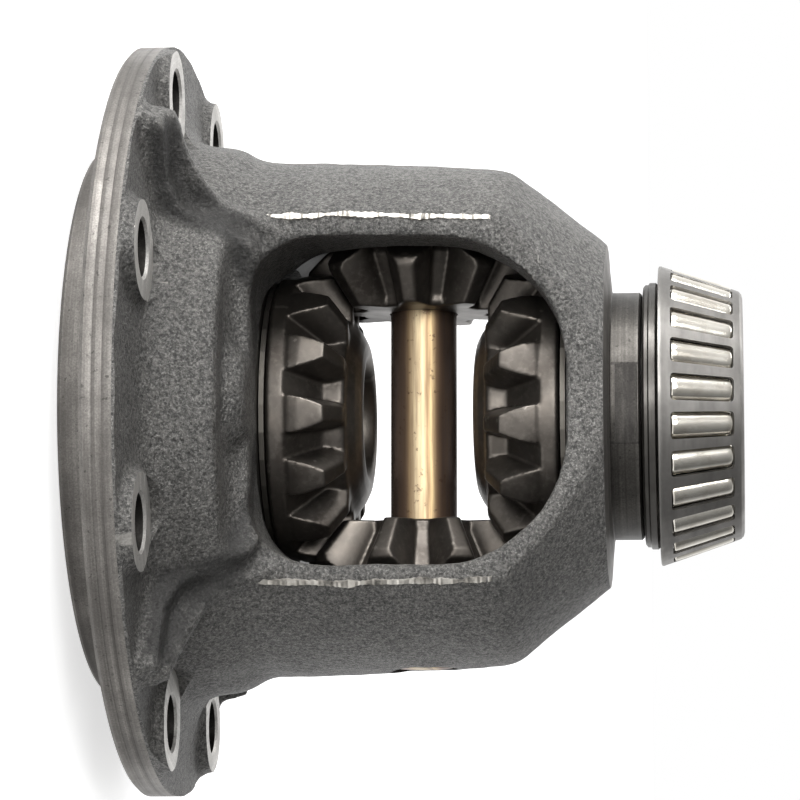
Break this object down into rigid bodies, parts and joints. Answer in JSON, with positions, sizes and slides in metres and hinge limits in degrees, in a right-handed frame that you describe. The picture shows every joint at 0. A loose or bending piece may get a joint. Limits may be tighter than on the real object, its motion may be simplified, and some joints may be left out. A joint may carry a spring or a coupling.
{
  "type": "automotive differential",
  "caption": "Cast differential case with ring-gear flange, windowed barrel, bevel side gears and pinions on a cross pin, and a tapered roller bearing on its journal.",
  "frame": {"origin": "centre of the pilot end face, at the bottom of the case", "axes": "+Z along the case axis from the pilot to the bearing, X along the cross pin, the windows face -Y and +Y"},
  "size_m": [0.1822, 0.1822, 0.1539],
  "materials": {
    "cast_iron_case": "rough sand-cast dark grey, with bright turned and ground faces",
    "straw_pin_steel": "hardened pin with straw-coloured heat tint",
    "black_spring_steel": "dark rolled spring steel",
    "forged_gear_steel": "forged and hardened, dark with polished edges",
    "washer_steel": "satin pressed washer",
    "bearing_ring_steel": "ground and polished",
    "cage_steel": "satin pressed sheet",
    "roller_steel": "polished"
  },
  "bodies": {
    "case": {"differential_case": "cast_iron_case", "cross_pin": "straw_pin_steel", "cross_pin_lock_pin": "black_spring_steel", "side_washer_bearing_side": "washer_steel", "side_washer_flange_side": "washer_steel", "pinion_washer_lower": "washer_steel", "pinion_washer_upper": "washer_steel", "bearing_inner_ring": "bearing_ring_steel"},
    "bearing_side_gear": {"side_gear_bearing_side": "forged_gear_steel"},
    "flange_side_gear": {"side_gear_flange_side": "forged_gear_steel"},
    "lower_pinion": {"pinion_lower": "forged_gear_steel"},
    "upper_pinion": {"pinion_upper": "forged_gear_steel"},
    "roller_cage": {"bearing_cage": "cage_steel"},
    "roller_01": {"bearing_roller_01": "roller_steel"},
    "roller_02": {"bearing_roller_02": "roller_steel"},
    "roller_03": {"bearing_roller_03": "roller_steel"},
    "roller_04": {"bearing_roller_04": "roller_steel"},
    "roller_05": {"bearing_roller_05": "roller_steel"},
    "roller_06": {"bearing_roller_06": "roller_steel"},
    "roller_07": {"bearing_roller_07": "roller_steel"},
    "roller_08": {"bearing_roller_08": "roller_steel"},
    "roller_09": {"bearing_roller_09": "roller_steel"},
    "roller_10": {"bearing_roller_10": "roller_steel"},
    "roller_11": {"bearing_roller_11": "roller_steel"},
    "roller_12": {"bearing_roller_12": "roller_steel"},
    "roller_13": {"bearing_roller_13": "roller_steel"},
    "roller_14": {"bearing_roller_14": "roller_steel"},
    "roller_15": {"bearing_roller_15": "roller_steel"},
    "roller_16": {"bearing_roller_16": "roller_steel"},
    "roller_17": {"bearing_roller_17": "roller_steel"},
    "roller_18": {"bearing_roller_18": "roller_steel"},
    "roller_19": {"bearing_roller_19": "roller_steel"},
    "roller_20": {"bearing_roller_20": "roller_steel"},
    "roller_21": {"bearing_roller_21": "roller_steel"},
    "roller_22": {"bearing_roller_22": "roller_steel"},
    "roller_23": {"bearing_roller_23": "roller_steel"},
    "roller_24": {"bearing_roller_24": "roller_steel"}
  },
  "joints": [
    {"name": "bearing_side_gear_spin", "type": "hinge", "parent": "case", "child": "bearing_side_gear", "pos_m": [0, 0, 0.1018], "axis": [0, 0, 1], "continuous": true},
    {"name": "flange_side_gear_spin", "type": "hinge", "parent": "case", "child": "flange_side_gear", "pos_m": [0, 0, 0.0518], "axis": [0, 0, 1], "continuous": true},
    {"name": "lower_pinion_spin", "type": "hinge", "parent": "case", "child": "lower_pinion", "pos_m": [0.035, 0, 0.0768], "axis": [1, 0, 0], "continuous": true},
    {"name": "upper_pinion_spin", "type": "hinge", "parent": "case", "child": "upper_pinion", "pos_m": [-0.035, 0, 0.0768], "axis": [1, 0, 0], "continuous": true},
    {"name": "roller_cage_spin", "type": "hinge", "parent": "case", "child": "roller_cage", "pos_m": [0, 0, 0.1434], "axis": [0, 0, 1], "continuous": true},
    {"name": "roller_01_spin", "type": "hinge", "parent": "roller_cage", "child": "roller_01", "pos_m": [-0.00255, -0.02974, 0.1434], "axis": [0.0248, 0.2896, 0.9568], "continuous": true},
    {"name": "roller_02_spin", "type": "hinge", "parent": "roller_cage", "child": "roller_02", "pos_m": [-0.01016, -0.02807, 0.1434], "axis": [0.0989, 0.2733, 0.9568], "continuous": true},
    {"name": "roller_03_spin", "type": "hinge", "parent": "roller_cage", "child": "roller_03", "pos_m": [-0.01708, -0.02448, 0.1434], "axis": [0.1663, 0.2384, 0.9568], "continuous": true},
    {"name": "roller_04_spin", "type": "hinge", "parent": "roller_cage", "child": "roller_04", "pos_m": [-0.02283, -0.01923, 0.1434], "axis": [0.2224, 0.1872, 0.9568], "continuous": true},
    {"name": "roller_05_spin", "type": "hinge", "parent": "roller_cage", "child": "roller_05", "pos_m": [-0.02703, -0.01266, 0.1434], "axis": [0.2633, 0.1233, 0.9568], "continuous": true},
    {"name": "roller_06_spin", "type": "hinge", "parent": "roller_cage", "child": "roller_06", "pos_m": [-0.02939, -0.00524, 0.1434], "axis": [0.2862, 0.051, 0.9568], "continuous": true},
    {"name": "roller_07_spin", "type": "hinge", "parent": "roller_cage", "child": "roller_07", "pos_m": [-0.02974, 0.00255, 0.1434], "axis": [0.2896, -0.0248, 0.9568], "continuous": true},
    {"name": "roller_08_spin", "type": "hinge", "parent": "roller_cage", "child": "roller_08", "pos_m": [-0.02807, 0.01016, 0.1434], "axis": [0.2733, -0.0989, 0.9568], "continuous": true},
    {"name": "roller_09_spin", "type": "hinge", "parent": "roller_cage", "child": "roller_09", "pos_m": [-0.02448, 0.01708, 0.1434], "axis": [0.2384, -0.1663, 0.9568], "continuous": true},
    {"name": "roller_10_spin", "type": "hinge", "parent": "roller_cage", "child": "roller_10", "pos_m": [-0.01923, 0.02283, 0.1434], "axis": [0.1872, -0.2224, 0.9568], "continuous": true},
    {"name": "roller_11_spin", "type": "hinge", "parent": "roller_cage", "child": "roller_11", "pos_m": [-0.01266, 0.02703, 0.1434], "axis": [0.1233, -0.2633, 0.9568], "continuous": true},
    {"name": "roller_12_spin", "type": "hinge", "parent": "roller_cage", "child": "roller_12", "pos_m": [-0.00524, 0.02939, 0.1434], "axis": [0.051, -0.2862, 0.9568], "continuous": true},
    {"name": "roller_13_spin", "type": "hinge", "parent": "roller_cage", "child": "roller_13", "pos_m": [0.00255, 0.02974, 0.1434], "axis": [-0.0248, -0.2896, 0.9568], "continuous": true},
    {"name": "roller_14_spin", "type": "hinge", "parent": "roller_cage", "child": "roller_14", "pos_m": [0.01016, 0.02807, 0.1434], "axis": [-0.0989, -0.2733, 0.9568], "continuous": true},
    {"name": "roller_15_spin", "type": "hinge", "parent": "roller_cage", "child": "roller_15", "pos_m": [0.01708, 0.02448, 0.1434], "axis": [-0.1663, -0.2384, 0.9568], "continuous": true},
    {"name": "roller_16_spin", "type": "hinge", "parent": "roller_cage", "child": "roller_16", "pos_m": [0.02283, 0.01923, 0.1434], "axis": [-0.2224, -0.1872, 0.9568], "continuous": true},
    {"name": "roller_17_spin", "type": "hinge", "parent": "roller_cage", "child": "roller_17", "pos_m": [0.02703, 0.01266, 0.1434], "axis": [-0.2633, -0.1233, 0.9568], "continuous": true},
    {"name": "roller_18_spin", "type": "hinge", "parent": "roller_cage", "child": "roller_18", "pos_m": [0.02939, 0.00524, 0.1434], "axis": [-0.2862, -0.051, 0.9568], "continuous": true},
    {"name": "roller_19_spin", "type": "hinge", "parent": "roller_cage", "child": "roller_19", "pos_m": [0.02974, -0.00255, 0.1434], "axis": [-0.2896, 0.0248, 0.9568], "continuous": true},
    {"name": "roller_20_spin", "type": "hinge", "parent": "roller_cage", "child": "roller_20", "pos_m": [0.02807, -0.01016, 0.1434], "axis": [-0.2733, 0.0989, 0.9568], "continuous": true},
    {"name": "roller_21_spin", "type": "hinge", "parent": "roller_cage", "child": "roller_21", "pos_m": [0.02448, -0.01708, 0.1434], "axis": [-0.2384, 0.1663, 0.9568], "continuous": true},
    {"name": "roller_22_spin", "type": "hinge", "parent": "roller_cage", "child": "roller_22", "pos_m": [0.01923, -0.02283, 0.1434], "axis": [-0.1872, 0.2224, 0.9568], "continuous": true},
    {"name": "roller_23_spin", "type": "hinge", "parent": "roller_cage", "child": "roller_23", "pos_m": [0.01266, -0.02703, 0.1434], "axis": [-0.1233, 0.2633, 0.9568], "continuous": true},
    {"name": "roller_24_spin", "type": "hinge", "parent": "roller_cage", "child": "roller_24", "pos_m": [0.00524, -0.02939, 0.1434], "axis": [-0.051, 0.2862, 0.9568], "continuous": true}
  ],
  "couplings": [
    {"joint": "flange_side_gear_spin", "follows": "bearing_side_gear_spin", "ratio": -1},
    {"joint": "lower_pinion_spin", "follows": "bearing_side_gear_spin", "ratio": -1.5556},
    {"joint": "upper_pinion_spin", "follows": "bearing_side_gear_spin", "ratio": 1.5556}
  ]
}
